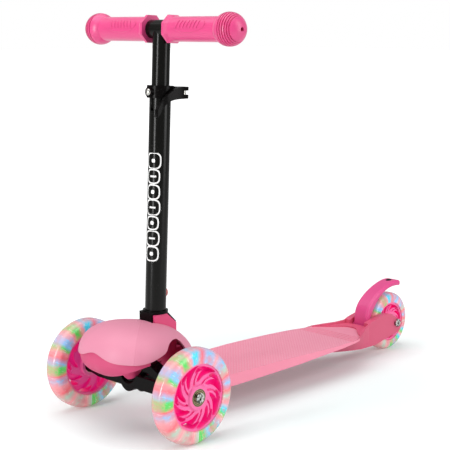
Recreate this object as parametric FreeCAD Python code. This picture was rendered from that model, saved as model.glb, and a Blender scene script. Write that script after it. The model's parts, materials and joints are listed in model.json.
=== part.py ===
import FreeCAD, Part
import math
import os

from FreeCAD import Vector, Rotation, Placement

os.makedirs("parts", exist_ok=True)

# Kick scooter for small children. Millimetres, +Z up, the front is -Y, the rider's left is +X.

# ---- overall -------------------------------------------------------------
FRONT_AXLE_Y = -245.5      # front axle line
REAR_AXLE_Y = 269.5        # rear axle line
FRONT_WHEEL_R = 60.0
REAR_WHEEL_R = 45.0
WHEEL_W = 24.0
TRACK = 206.0              # between the middle planes of the front wheels
BOLT_R = 4.0               # axle bolts, 8 mm
BEARING_R = 11.0           # 608 bearing: 8 x 22 x 7
BEARING_W = 7.0
FIT = 0.03                 # radial clearance of a shaft in its hole

# ---- stem (leans back) -----------------------------------------------------
LEAN = 2.43                # degrees from the vertical
STEM_FOOT_Y = FRONT_AXLE_Y + 27.3   # where the stem axis meets the floor
LOWER_R, LOWER_WALL = 13.5, 1.5
UPPER_R, UPPER_WALL = 11.2, 1.4
RING_Z = 140.9             # underside of the ring on the stem root
TUBE_Z = 144.9             # foot of the lower tube
COLLAR_Z, COLLAR_H, COLLAR_R = 414.0, 15.5, 17.0
BAR_Z = 499.0              # handlebar centre, along the stem
UPPER_FOOT_Z = 282.0
BUTTON_Z = 165.0           # fold release button

# ---- handlebar --------------------------------------------------------------
BAR_R = 11.2
GRIP_R = 15.3
BALL_R, BALL_X = 20.4, 119.0
BALL_RINGS = (-1.1, 2.4, 5.6, 8.6, 11.2, 13.4)   # grooves, measured outwards from the ball's middle
FLANGE_X = 18.0

# ---- fold hinge ---------------------------------------------------------------
HINGE_Y, HINGE_Z = FRONT_AXLE_Y + 42.0, 114.0
HINGE_PIN_R = 3.5
FOLD_DEG = 84.0
ROOT_HALF, CHEEK_IN, CHEEK_OUT = 10.6, 10.9, 14.0

# ---- steering ------------------------------------------------------------------
KING = Vector(0, FRONT_AXLE_Y + 5.0, 62.0)     # middle of the truck hub
KING_DIR = Vector(0, -1, 1)                    # up and forward
KING_PIN_R = 5.0
HUB_R = 14.0

# ---- rear -----------------------------------------------------------------------
FORK_IN, FORK_OUT = 13.8, 24.0
BRAKE_PIN_Y, BRAKE_PIN_Z = FRONT_AXLE_Y + 457.0, 47.0
BRAKE_PIN_R = 2.5

X, Y, Z = Vector(1, 0, 0), Vector(0, 1, 0), Vector(0, 0, 1)


# ---- small helpers -----------------------------------------------------------
def fwd(y):
    """A distance behind the front axle as a Y position."""
    return FRONT_AXLE_Y + y


def cyl(r, length, at, along):
    return Part.makeCylinder(r, length, at, along)


def tube(r_out, r_in, length, at, along):
    return cyl(r_out, length, at, along).cut(cyl(r_in, length, at, along))


def box(x0, x1, y0, y1, z0, z1):
    return Part.makeBox(x1 - x0, y1 - y0, z1 - z0, Vector(x0, y0, z0))


def both(shape):
    """The shape and its mirror image across the middle plane, fused."""
    return shape.fuse(mirror(shape))


def mirror(shape):
    return shape.mirror(Vector(0, 0, 0), X)


def side_plate(points, x0, x1):
    """A plate drawn as (distance behind the front axle, height), between two x planes."""
    wire = Part.makePolygon([Vector(x0, fwd(y), z) for y, z in points + points[:1]])
    return Part.Face(wire).extrude(Vector(x1 - x0, 0, 0))


def flat_plate(points, z0, z1):
    """A plate drawn in plan as (x, y), between two heights."""
    wire = Part.makePolygon([Vector(x, y, z0) for x, y in points + points[:1]])
    return Part.Face(wire).extrude(Vector(0, 0, z1 - z0))


def lean(shape):
    """From the upright stem frame (axis on Z) to its place on the scooter."""
    out = shape.copy()
    out.Placement = Placement(Vector(0, STEM_FOOT_Y, 0), Rotation(X, -LEAN)).multiply(out.Placement)
    return out


def group(shapes):
    out = []
    for shape in shapes:
        out += shape.Solids
    return Part.makeCompound(out)


def soften(shape, radius, pick):
    """Rounds the edges that pick() accepts, if the geometry allows it."""
    edges = [e for e in shape.Edges if pick(e)]
    try:
        rounded = shape.makeFillet(radius, edges)
        return rounded if rounded.isValid() and rounded.Volume > 0 else shape
    except Exception:
        return shape


def save(name, shape):
    found = shape.Solids
    keep = found[0] if len(found) == 1 else Part.makeCompound(found)
    keep.exportStep("parts/" + name + ".step")


# ---- wheels: drawn with the axle on Z and the outer side up, then turned into place ------
def polar(r, deg, z=0.0):
    return Vector(r * math.cos(math.radians(deg)), r * math.sin(math.radians(deg)), z)


def revolve(points):
    """A closed outline of (radius, height) turned about Z."""
    wire = Part.makePolygon([Vector(r, 0, z) for r, z in points + points[:1]])
    return Part.Face(wire).revolve(Vector(0, 0, 0), Z, 360)


def swirl_patch(r_in, r_out, deg, half_deg_in, half_deg_out, swirl, z0, z1):
    """A rounded patch between two radii that swirls as it goes outward."""
    pts = []
    for t in (0.0, 0.2, 0.5, 0.8, 1.0):
        half = half_deg_in + (half_deg_out - half_deg_in) * t
        bow = 0.80 if t in (0.0, 1.0) else 1.0
        pts.append((r_in + (r_out - r_in) * t, deg + swirl * t, half * bow))
    left = [polar(r, a + h, z0) for r, a, h in pts]
    right = [polar(r, a - h, z0) for r, a, h in reversed(pts)]
    curve = Part.BSplineCurve()
    curve.interpolate(left + right, PeriodicFlag=True)
    return Part.Face(Part.Wire(curve.toShape())).extrude(Vector(0, 0, z1 - z0))


SWIRL = -36.0              # how far a spoke turns on its way out, degrees


def wheel_hub(rim_r):
    half = WHEEL_W / 2
    boss_r = 15.0
    blank = revolve([(0, -half), (boss_r, -half), (boss_r + 1.5, -half + 4), (rim_r - 4, -half + 4),
                     (rim_r - 3, -half + 1.5), (rim_r, -half + 1.5), (rim_r, half - 1.5), (rim_r - 3, half - 1.5),
                     (rim_r - 4.5, half - 3.5), (boss_r + 1.5, half - 2), (boss_r, half), (0, half)])
    pocket_in = boss_r + 0.2 * (rim_r - boss_r)
    window_in = boss_r + 0.62 * (rim_r - boss_r)
    cuts = []
    for k in range(8):
        a = 45.0 * k
        for z0, z1 in ((-half - 1, -3.6), (-1.2, half + 1)):
            cuts.append(swirl_patch(pocket_in, rim_r - 3.4, a, 6.5, 14.0, SWIRL, z0, z1))
        cuts.append(swirl_patch(window_in, rim_r - 4.4, a, 7.0, 11.0, 0.4 * SWIRL, -half - 1, half + 1))
        cuts.append(swirl_patch(boss_r + 2, rim_r - 3.2, a + 22.5, 4.0, 2.4, SWIRL, half - 5.0, half + 1))
    hub = blank.cut(Part.makeCompound(cuts))
    seats = [cyl(BEARING_R, BEARING_W, Vector(0, 0, -half), Z),
             cyl(BEARING_R, BEARING_W, Vector(0, 0, half - BEARING_W), Z),
             cyl(8.0, WHEEL_W, Vector(0, 0, -half), Z)]
    return hub.cut(seats).removeSplitter()


def lamp_blocks(rim_r, count, gap=0.0):
    blocks = []
    for k in range(count):
        b = Part.makeBox(3.0 + gap, 5.0 + 2 * gap, 6.0 + 2 * gap, Vector(rim_r, -2.5 - gap, -3.0 - gap))
        b.rotate(Vector(0, 0, 0), Z, 360.0 / count * (k + 0.5))
        blocks.append(b.cut(cyl(rim_r, 40, Vector(0, 0, -20), Z)))
    return blocks


def wheel_tyre(rim_r, tread_r, lamps):
    half = WHEEL_W / 2
    body = cyl(tread_r, WHEEL_W, Vector(0, 0, -half), Z)
    body = body.makeFillet(9.0, [e for e in body.Edges if len(e.Vertexes) == 1 and e.Closed])
    rim = cyl(rim_r, 60, Vector(0, 0, -30), Z)
    return body.cut([rim] + lamp_blocks(rim_r, lamps, 0.05))


def wheel_parts(rim_r, tread_r, lamps):
    half = WHEEL_W / 2
    sleeve_l = WHEEL_W - 2 * BEARING_W
    return {
        "tyre": wheel_tyre(rim_r, tread_r, lamps),
        "hub": wheel_hub(rim_r),
        "lamps": group(lamp_blocks(rim_r, lamps)),
        "bearings": group([tube(BEARING_R, BOLT_R + FIT, BEARING_W, Vector(0, 0, z), Z)
                           for z in (-half, half - BEARING_W)]),
        "spacer": tube(6.0, BOLT_R + 0.1, sleeve_l, Vector(0, 0, -sleeve_l / 2), Z),
    }


def place_wheel(shape, at, outer):
    """outer is +1 when the wheel's outer side faces +X, -1 for its mirror image."""
    out = shape.copy()
    out.rotate(Vector(0, 0, 0), Y, 90)
    if outer < 0:
        out = mirror(out)
    out.translate(at)
    return out


def make_wheels():
    front = wheel_parts(41.6, FRONT_WHEEL_R, 10)
    rear = wheel_parts(30.0, REAR_WHEEL_R, 8)
    spots = [("front_left_wheel", front, Vector(TRACK / 2, FRONT_AXLE_Y, FRONT_WHEEL_R), 1),
             ("front_right_wheel", front, Vector(-TRACK / 2, FRONT_AXLE_Y, FRONT_WHEEL_R), -1),
             ("rear_wheel", rear, Vector(0, REAR_AXLE_Y, REAR_WHEEL_R), 1)]
    for name, parts, at, outer in spots:
        for key, shape in parts.items():
            save(name + "_" + key, place_wheel(shape, at, outer))


# ---- front cover and trim --------------------------------------------------------------
COVER_OUTLINE = [(0, -69), (27, -65.8), (49, -54.3), (65.5, -36.5), (72, -11), (68, 18), (54.5, 46.5), (38.5, 65.5),
                 (19.5, 75.8), (0, 79)]
COVER_MID, COVER_TOP = 5.0, 134.5
COVER_RIM_FRONT, COVER_RIM_REAR = 95.0, 74.0
COVER_WALL = 2.6
BOWL_DEPTH = 30.0
ROUND = 2.3                # how square the dome is; 2 is an ellipse


def cover_rim(y):
    return COVER_RIM_FRONT + (COVER_RIM_REAR - COVER_RIM_FRONT) * (y + 69.0) / 148.0


def cover_ring(angle, inset, depth):
    """One closed level curve; angle 0 is the rim, 90 the top or the bottom."""
    c = math.cos(math.radians(angle)) ** (2 / ROUND)
    s = math.sin(math.radians(abs(angle))) ** (2 / ROUND) * (1 if angle >= 0 else -1)
    half = COVER_OUTLINE + [(-x, y) for x, y in COVER_OUTLINE[-2:0:-1]]
    pts = []
    for x, y in half:
        px = x * c * (72 - inset) / 72
        py = COVER_MID + (y - COVER_MID) * c * (74 - inset) / 74
        pts.append(Vector(px, fwd(py), cover_rim(py) + depth * s))
    curve = Part.BSplineCurve()
    curve.interpolate(pts, PeriodicFlag=True)
    return Part.Wire(curve.toShape())


def dome(inset):
    height = COVER_TOP - cover_rim(COVER_MID) - inset
    rings = [cover_ring(a, inset, height) for a in (0, 14, 28, 42, 55, 67, 77, 84, 88)]
    return Part.makeLoft(rings, True)


def bowl(inset):
    depth = BOWL_DEPTH - inset
    rings = [cover_ring(-a, inset, depth) for a in (0, 14, 28, 42, 55, 67, 77, 84, 88)]
    return Part.makeLoft(rings, True)


def wave_block(lift, y0, y1):
    """Everything below the wavy seam at the front."""
    pts = []
    for k in range(33):
        x = -96 + 6 * k
        pts.append(Vector(x, fwd(y0), 97.5 + lift + 9.0 * math.exp(-(x / 22.0) ** 2)))
    curve = Part.BSplineCurve()
    curve.interpolate(pts)
    floor = Part.makePolygon([pts[-1], Vector(96, fwd(y0), 20), Vector(-96, fwd(y0), 20), pts[0]])
    return Part.Face(Part.Wire([curve.toShape()] + floor.Edges)).extrude(Vector(0, y1 - y0, 0))


def wheel_arch():
    """The opening over each end of the truck, drawn from the side."""
    top = [(-60, 97), (-44, 98), (-31.7, 101), (-19, 105), (-7, 109.8), (-1, 114), (7, 117), (18, 117.6), (26.5, 115),
           (31, 110), (34, 103), (37, 92), (40, 80), (46, 60)]
    pts = [Vector(22, fwd(y), z) for y, z in top]
    curve = Part.BSplineCurve()
    curve.interpolate(pts)
    floor = Part.makePolygon([pts[-1], Vector(22, fwd(46), 20), Vector(22, fwd(-60), 20), pts[0]])
    return Part.Face(Part.Wire([curve.toShape()] + floor.Edges)).extrude(Vector(70, 0, 0))


def head_slot():
    return box(-CHEEK_OUT - 0.6, CHEEK_OUT + 0.6, fwd(14.4), fwd(66.4), 60, 160)


def fold_rest():
    """The scoop in the cover's back edge that the folded stem lies in."""
    stem = lean(cyl(17.0, 90, Vector(0, 0, HINGE_Z + 3), Z))
    stem.rotate(Vector(0, HINGE_Y, HINGE_Z), X, -FOLD_DEG)
    return stem


def make_cover():
    shell = dome(0).cut(dome(COVER_WALL))
    arch = both(wheel_arch())
    under = box(-80, 80, fwd(-80), fwd(100), 20, 66)
    cover = shell.cut([wave_block(0, -90, -46), arch, head_slot(), under])
    cover = cover.cut([box(-30, 30, fwd(-50), fwd(44), 20, 104), fold_rest()])
    return max(cover.Solids, key=lambda s: s.Volume)


def make_trim():
    outer = dome(COVER_WALL).fuse(bowl(COVER_WALL))
    inner = dome(COVER_WALL + 2.4).fuse(bowl(COVER_WALL + 2.4))
    shell = outer.cut(inner).common(wave_block(4.0, -90, 10))
    back = flat_plate([(-90, fwd(-35)), (0, fwd(-24)), (90, fwd(-35)), (90, fwd(90)), (-90, fwd(90))], 20, 150)
    return max(shell.cut([back, trim_edge()]).Solids, key=lambda s: s.Volume)


def trim_edge():
    """Everything below the trim's curved lower edge, which rises towards the wheels."""
    pts = [Vector(x, fwd(-90), 76.5 + 0.0048 * x * x) for x in range(-90, 91, 10)]
    curve = Part.BSplineCurve()
    curve.interpolate(pts)
    floor = Part.makePolygon([pts[-1], Vector(90, fwd(-90), 20), Vector(-90, fwd(-90), 20), pts[0]])
    return Part.Face(Part.Wire([curve.toShape()] + floor.Edges)).extrude(Vector(0, 160, 0))


# ---- front housing: cheeks for the hinge, lug for the king pin, foot for the deck -----------
CHEEK_SIDE = [(19.5, 92), (19.5, 140.3), (40, 140.3), (56.7, 126), (56.7, 92)]


def make_housing():
    cheeks = both(side_plate(CHEEK_SIDE, CHEEK_IN, CHEEK_OUT))
    body = side_plate([(-16, 80), (-16, 88), (10, 92.3), (66, 92.3), (74, 84), (74, 34), (44, 34), (30, 44),
                       (30, 80)], -CHEEK_OUT, CHEEK_OUT)
    shelf = flat_plate([(-60, fwd(44)), (60, fwd(44)), (60, fwd(80)), (-60, fwd(80))], 74, 80)
    shelf = shelf.common(flat_inner())
    neck = side_plate([(46, 74), (74, 74), (74, 34), (58, 34), (46, 50)], -24, 24)
    stop = box(-CHEEK_IN, CHEEK_IN, fwd(16.5), fwd(21.5), 92, 118)
    lug = cyl(HUB_R, 13, on_king(14.2), KING_DIR)
    housing = body.fuse([cheeks, shelf, neck, stop, lug])
    pin_hole = cyl(KING_PIN_R, 90, on_king(-50), KING_DIR)
    hinge_hole = cyl(HINGE_PIN_R, 60, Vector(-30, HINGE_Y, HINGE_Z), X)
    sweep = cyl(22.5, 2 * CHEEK_IN, Vector(-CHEEK_IN, HINGE_Y, HINGE_Z), X)
    truck_room = cyl(HUB_R + 1.0, 40, on_king(14.2 - 40), KING_DIR)
    return housing.cut([pin_hole, hinge_hole, sweep, truck_room]).removeSplitter()


def flat_inner():
    """The inside of the cover near its rear rim, as a straight block."""
    return Part.Face(level_curve()).extrude(Vector(0, 0, 60))


def level_curve():
    wire = cover_ring(0, COVER_WALL + 0.4, 0)
    pts = wire.discretize(60)
    return Part.makePolygon([Vector(p.x, p.y, 50) for p in pts])


def on_king(t):
    return KING + Vector(KING_DIR).normalize() * t


# ---- truck ----------------------------------------------------------------------------------
def make_lower_beam():
    plan = [(0, fwd(-15)), (58, fwd(-15)), (80, fwd(-9)), (88.5, fwd(-9)), (88.5, fwd(9)), (64, fwd(9)),
            (20, fwd(12)), (0, fwd(12))]
    arm = flat_plate(plan, 53, 69.5)
    end = cyl(9.5, 20.5, Vector(69, FRONT_AXLE_Y, FRONT_WHEEL_R), X)
    relief = box(24, 64, fwd(-9), fwd(30), 58, 80)
    arm = arm.cut(relief).fuse(end)
    arm = arm.cut(box(80, 100, fwd(-30), fwd(30), 20, 52))
    beam = both(arm)
    beam = beam.fuse([cyl(HUB_R, 25, on_king(-15), KING_DIR), cyl(14.5, 22, Vector(0, fwd(-15), 61), Y)])
    bores = [cyl(KING_PIN_R + 0.05, 60, on_king(-40), KING_DIR),
             cyl(HUB_R + 4, 30, on_king(10), KING_DIR),
             cyl(8.6, 40, on_king(-15 - 40), KING_DIR)]
    for side in (-1, 1):
        bores.append(cyl(BOLT_R, 40, Vector(side * 60, FRONT_AXLE_Y, FRONT_WHEEL_R), X * side))
    return beam.cut(bores).removeSplitter()


def make_brace(side):
    front = [(24, 92), (40, 88.5), (60, 79), (78, 69.5), (57, 69.5), (50, 73), (38, 77), (24, 79)]
    pts = [Vector(side * x, fwd(-14), z) for x, z in front]
    plate = Part.Face(Part.makePolygon(pts + pts[:1])).extrude(Vector(0, 18, 0))
    holes = [cyl(2.0, 40, Vector(side * x, fwd(-12.0 + 6), 50), Z) for x in BRACE_SCREW_X]
    return plate.cut(holes)


BRACE_SCREW_X = (67.0,)


def make_truck():
    beam = make_lower_beam()
    holes = []
    screws = []
    for side in (-1, 1):
        for x in BRACE_SCREW_X:
            at = Vector(side * x, fwd(-6), 0)
            holes.append(cyl(2.0, 40, at + Z * 54, Z))
            screws.append(cyl(2.0, 18, at + Z * 60, Z).fuse(cyl(3.6, 2.4, at + Z * 78, Z)))
    braces = [make_brace(s).cut([cyl(3.7, 30, Vector(s * x, fwd(-6), 78), Z) for x in BRACE_SCREW_X])
              for s in (-1, 1)]
    save("lower_beam", beam.cut(holes))
    save("right_brace", braces[0].cut(cyl(2.0, 60, Vector(-67, fwd(-6), 40), Z)))
    save("left_brace", braces[1].cut(cyl(2.0, 60, Vector(67, fwd(-6), 40), Z)))
    save("brace_screws", group(screws))
    bolts = {"left": 1, "right": -1}
    for name, side in bolts.items():
        save(name + "_axle_bolt", axle_bolt(side))
        save(name + "_axle_washer", tube(6.5, BOLT_R, TRACK / 2 - WHEEL_W / 2 - 89.6,
                                         Vector(side * 89.5, FRONT_AXLE_Y, FRONT_WHEEL_R), X * side))


def axle_bolt(side):
    at = Vector(side * 66, FRONT_AXLE_Y, FRONT_WHEEL_R)
    tip = TRACK / 2 + WHEEL_W / 2 + 0.1
    head = Part.makeCylinder(6.4, 2.6, Vector(side * tip, FRONT_AXLE_Y, FRONT_WHEEL_R), X * side)
    socket = hexagon(2.4, 3.0, Vector(side * (tip + 1.4), FRONT_AXLE_Y, FRONT_WHEEL_R), side)
    return cyl(BOLT_R, tip - 66, at, X * side).fuse(head).cut(socket).removeSplitter()


def hexagon(r, length, at, side=1):
    pts = [Vector(0, r * math.cos(math.radians(60 * k)), r * math.sin(math.radians(60 * k))) for k in range(7)]
    out = Part.Face(Part.makePolygon(pts)).extrude(X * side * length)
    out.translate(at)
    return out


def make_kingpin():
    """A shouldered bolt from behind and below, its nut in the housing lug."""
    shank = cyl(KING_PIN_R, 43.2, on_king(-16.0), KING_DIR)
    head = cyl(8.4, 5.0, on_king(-20.5), KING_DIR)
    save("kingpin_bolt", shank.fuse(head).removeSplitter())
    save("kingpin_bush", tube(HUB_R, KING_PIN_R + 0.05, 4.0, on_king(10.2), KING_DIR))


# ---- deck, frame and brake -----------------------------------------------------------------------
DECK_PLAN = [(0, 74.4), (30, 74.4), (44, 84), (51, 100), (54, 125), (55.5, 170), (57, 230), (58, 290), (57, 330),
             (54, 366), (50.5, 384), (46, 396), (37, 405), (22, 419),
             (9, 431), (0, 433)]
DECK_TOP = [(60, 50.4), (104, 51.6), (220, 51.6), (300, 49.6), (376, 47.3), (420, 47.0), (500, 47.0)]
DECK_UNDER = [(500, 43.0), (420, 43.0), (379, 43.4), (330, 42.4), (295, 41.5), (253, 39.0), (200, 37.3), (121, 35.0),
              (60, 34.0)]


def deck_outline(inset):
    """Half of the deck's outline in plan: straight at the front, a curve round the side and the tongue."""
    pts = [Vector(max(x - inset, 0), fwd(y + (inset if y < 100 else -inset if y > 400 else 0)), 0)
           for x, y in DECK_PLAN]
    pts[0].x = pts[-1].x = 0
    side = Part.BSplineCurve()
    side.interpolate(pts[2:])
    front = Part.makePolygon([pts[-1], pts[0], pts[1], pts[2]])
    return Part.Face(Part.Wire(front.Edges + [side.toShape()]))


def deck_slab(inset, top_drop):
    face = deck_outline(inset)
    half = face.extrude(Vector(0, 0, 90))
    top = [(y, z - top_drop) for y, z in DECK_TOP]
    low = DECK_UNDER if top_drop == 0 else [(500, 10), (60, 10)]
    return both(half.common(side_plate(top + low, -1, 70)))


def make_deck():
    deck = deck_slab(0, 0).removeSplitter()
    cavity = deck_slab(3.0, 3.4)
    ribs = []
    for k in range(6):
        y = fwd(118 + 42 * k)
        ribs.append(box(-48, 48, y, y + 2.4, 30, 60))
    cavity = cavity.cut(ribs)
    deck = deck.cut(cavity)
    grooves = [box(-70, 70, fwd(y), fwd(y + 1.6), 46.4, 60) for y in (372, 379, 386, 393)]
    deck = deck.cut(grooves)
    return deck


FRAME_SIDE = [(74, 34), (140, 31), (300, 31), (341, 30), (392, 23), (427, 19), (463, 19), (482, 23), (511, 28),
              (524, 33), (529, 42), (524, 47), (514, 53.5), (503, 60), (491, 63), (478, 62), (466, 59.8), (452, 57),
              (440, 52.5), (432, 48), (74, 47)]
# shoulder behind the deck: distance behind the front axle, half width and height at the foot, the same at the top
SHOULDER = [(300, 22, 33, 26, 40), (345, 24, 30, 44, 42.5), (383, 24, 24.5, 51.5, 47.0), (396, 24, 22.5, 48, 49.0),
            (412, 24, 20.5, 40, 50.5), (430, 24, 19.5, 30, 52.0), (446, 24, 19, 24, 54)]


def make_shoulder():
    wires = []
    for y, half, z, top_half, top_z in SHOULDER:
        low, high = [Vector(half, fwd(y), z), Vector(-half, fwd(y), z)], [Vector(-top_half, fwd(y), top_z),
                                                                        Vector(top_half, fwd(y), top_z)]
        wires.append(Part.makePolygon(low + high + low[:1]))
    return Part.makeLoft(wires, True, True)


def make_under_frame(deck):
    spine = side_plate(FRAME_SIDE, -FORK_OUT, FORK_OUT).fuse(make_shoulder())
    wheel_room = box(-FORK_IN, FORK_IN, fwd(449), fwd(540), 0, 100)
    seat = box(-FORK_IN, FORK_IN, fwd(433), fwd(500), 49.0, 80)
    dish = flat_plate([(-22, fwd(446)), (-27, fwd(425)), (-38, fwd(405)), (38, fwd(405)), (27, fwd(425)),
                       (22, fwd(446))], 49.0, 80)
    hollow = box(-FORK_IN, FORK_IN, fwd(110), fwd(400), 20, 40)
    ribs = [box(-20, 20, fwd(y), fwd(y + 4), 10, 60) for y in (150, 200, 250, 300, 350)]
    neck = side_plate([(74, 34), (74, 74), (80, 66), (96, 52), (120, 34)], -24, 24)
    tongue = both(deck_outline(0).extrude(Z * 40)).translated(Vector(0, 0, 43))
    axle = cyl(BOLT_R, 80, Vector(-40, REAR_AXLE_Y, REAR_WHEEL_R), X)
    pin = cyl(BRAKE_PIN_R, 80, Vector(-40, BRAKE_PIN_Y, BRAKE_PIN_Z), X)
    frame = spine.cut([wheel_room, seat, dish, hollow.cut(ribs), tongue]).fuse(neck).cut([deck, axle, pin])
    return max(frame.Solids, key=lambda s: s.Volume)


BRAKE_OUTER = [(453, 47), (453.2, 57), (454.8, 67), (459, 76.3), (468.2, 86), (485.6, 97), (507.3, 105.2), (527.4, 108.6),
               (539, 107)]
BRAKE_UNDER = [(537.5, 99.6), (527, 100.8), (512.5, 100), (493.5, 93.2), (478.5, 81), (466.8, 66), (462, 56), (460.5, 47)]
BRAKE_HALF = 13.0
PAD_R = 47.5
RIVET_Y, RIVET_R = 524.0, 1.5


def brake_plate():
    """The curved fender plate, drawn from the side."""
    outer = Part.BSplineCurve()
    outer.interpolate([Vector(-BRAKE_HALF, fwd(y), z) for y, z in BRAKE_OUTER])
    under = Part.BSplineCurve()
    under.interpolate([Vector(-BRAKE_HALF, fwd(y), z) for y, z in BRAKE_UNDER])
    tip = Part.makeLine(Vector(-BRAKE_HALF, fwd(539), 107), Vector(-BRAKE_HALF, fwd(537.5), 99.6))
    foot = Part.makeLine(Vector(-BRAKE_HALF, fwd(460.5), 47), Vector(-BRAKE_HALF, fwd(453), 47))
    plate = Part.Face(Part.Wire([outer.toShape(), tip, under.toShape(), foot])).extrude(X * 2 * BRAKE_HALF)
    plate = soften(plate, 4.0, lambda e: e.BoundBox.ZMax > 106 and (e.Length > 60 or e.BoundBox.YMin > fwd(537)))
    return soften(plate, 1.6, lambda e: e.BoundBox.ZMax < 106 and (
        e.Length > 60 or e.BoundBox.YMin > fwd(537) and e.BoundBox.XLength > 15))


def make_brake():
    hub = Vector(0, REAR_AXLE_Y, REAR_WHEEL_R)
    knuckle = cyl(4.3, 2 * BRAKE_HALF, Vector(-BRAKE_HALF, BRAKE_PIN_Y, BRAKE_PIN_Z), X)
    bore = cyl(BRAKE_PIN_R + 0.05, 60, Vector(-30, BRAKE_PIN_Y, BRAKE_PIN_Z), X)
    rivet_hole = cyl(RIVET_R, 40, Vector(0, fwd(RIVET_Y), 80), Z)
    block = box(-9, 9, fwd(474), fwd(488), 66, 86).common(
        tube(PAD_R + 8, PAD_R + 3, 40, hub - X * 20, X))
    fender = brake_plate().fuse([knuckle, block]).cut([bore, rivet_hole])
    pad = tube(PAD_R + 3, PAD_R, 18, hub - X * 9, X).common(box(-9, 9, fwd(474), fwd(488), 66, 90))
    save("brake_fender", max(fender.removeSplitter().Solids, key=lambda s: s.Volume))
    save("brake_pad", pad)
    cap = Part.makeSphere(8.6, Vector(0, fwd(RIVET_Y), 101.2)).common(
        box(-9, 9, fwd(RIVET_Y - 12), fwd(RIVET_Y + 12), 107.2, 112))
    shank = cyl(RIVET_R, 7.0, Vector(0, fwd(RIVET_Y), 101.4), Z)
    save("brake_rivet", cap.fuse(shank).cut(fender).removeSplitter())
    save("brake_pin", cyl(BRAKE_PIN_R, 2 * FORK_OUT, Vector(-FORK_OUT, BRAKE_PIN_Y, BRAKE_PIN_Z), X))


def rear_axle():
    tip = FORK_OUT + 0.0
    shank = cyl(BOLT_R, 2 * tip + 8, Vector(-tip - 8, REAR_AXLE_Y, REAR_WHEEL_R), X)
    head = cyl(6.0, 3.2, Vector(tip, REAR_AXLE_Y, REAR_WHEEL_R), X)
    socket = hexagon(2.4, 3.0, Vector(tip + 1.6, REAR_AXLE_Y, REAR_WHEEL_R))
    save("rear_axle_bolt", shank.fuse(head).cut(socket).removeSplitter())
    nut = hexagon(7.2, 6.0, Vector(-tip - 6, REAR_AXLE_Y, REAR_WHEEL_R))
    save("rear_axle_nut", nut.cut(cyl(BOLT_R, 80, Vector(-60, REAR_AXLE_Y, REAR_WHEEL_R), X)))
    gap = FORK_IN - WHEEL_W / 2 - 0.1
    save("rear_axle_spacers", group([tube(6.0, BOLT_R, gap, Vector(s * FORK_IN, REAR_AXLE_Y, REAR_WHEEL_R), X * -s)
                                     for s in (-1, 1)]))


# ---- stem, drawn upright on the Z axis -------------------------------------------------------------
def make_root():
    core = [(15.5, 129), (15.5, 144.0), (41.0, 144.0), (44.5, 141.2), (59.2, 126.8), (59.2, 122), (54.5, 108), (48, 101.5),
            (36, 101.5), (29.5, 108), (22, 122)]
    block = side_plate(core, -ROOT_HALF, ROOT_HALF)
    ring = lean(cyl(16.2, TUBE_Z - RING_Z, Vector(0, 0, RING_Z), Z).fuse(
        cyl(LOWER_R - LOWER_WALL - 0.02, 10, Vector(0, 0, TUBE_Z), Z)))
    strap = side_plate([(44, 143.2), (59.2, 128), (57, 124), (42, 139)], -7.0, 7.0)
    root = block.fuse([ring, strap])
    return root.cut(cyl(HINGE_PIN_R + 0.05, 60, Vector(-30, HINGE_Y, HINGE_Z), X)).removeSplitter()


def make_stem():
    save("stem_root", make_root())
    tube_low = tube(LOWER_R, LOWER_R - LOWER_WALL, COLLAR_Z + 14 - TUBE_Z, Vector(0, 0, TUBE_Z), Z)
    slit = box(-1.0, 1.0, -20, -8, COLLAR_Z - 14, COLLAR_Z + 20).fuse(
        cyl(2.4, 14, Vector(0, -20, COLLAR_Z - 14), Y))
    button_hole = pill(4.1, 5.4, 5.0, 20.0)
    pin_hole = cyl(3.1, 20, Vector(0, -24, COLLAR_Z + 7.2), Y)
    save("lower_tube", lean(tube_low.cut([slit, button_hole, pin_hole])))
    sleeve = tube(LOWER_R - LOWER_WALL - 0.02, UPPER_R + 0.06, 30, Vector(0, 0, COLLAR_Z - 16), Z)
    save("tube_bushing", lean(sleeve.cut([slit, pin_hole])))
    save("fold_release_button", lean(release_button()))
    save("fold_pin", fold_pin())


def pill(half_w, half_h, y0, y1):
    """An upright pill-shaped bar along +Y at the button height."""
    pts = []
    for k in range(24):
        a = math.radians(15 * k)
        pts.append(Vector(half_w * math.cos(a), y0, BUTTON_Z + half_h * math.sin(a)))
    curve = Part.BSplineCurve()
    curve.interpolate(pts, PeriodicFlag=True)
    return Part.Face(Part.Wire(curve.toShape())).extrude(Vector(0, y1 - y0, 0))


def release_button():
    stem = pill(4.0, 5.3, 6.5, 17.2)
    skirt = pill(5.4, 7.0, 6.5, 8.0).common(cyl(LOWER_R - LOWER_WALL - 0.4, 40, Vector(0, 0, BUTTON_Z - 20), Z))
    return stem.fuse(skirt).removeSplitter()


def fold_pin():
    shank = cyl(HINGE_PIN_R, 2 * CHEEK_OUT + 1.0, Vector(-CHEEK_OUT - 0.5, HINGE_Y, HINGE_Z), X)
    return shank


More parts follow.
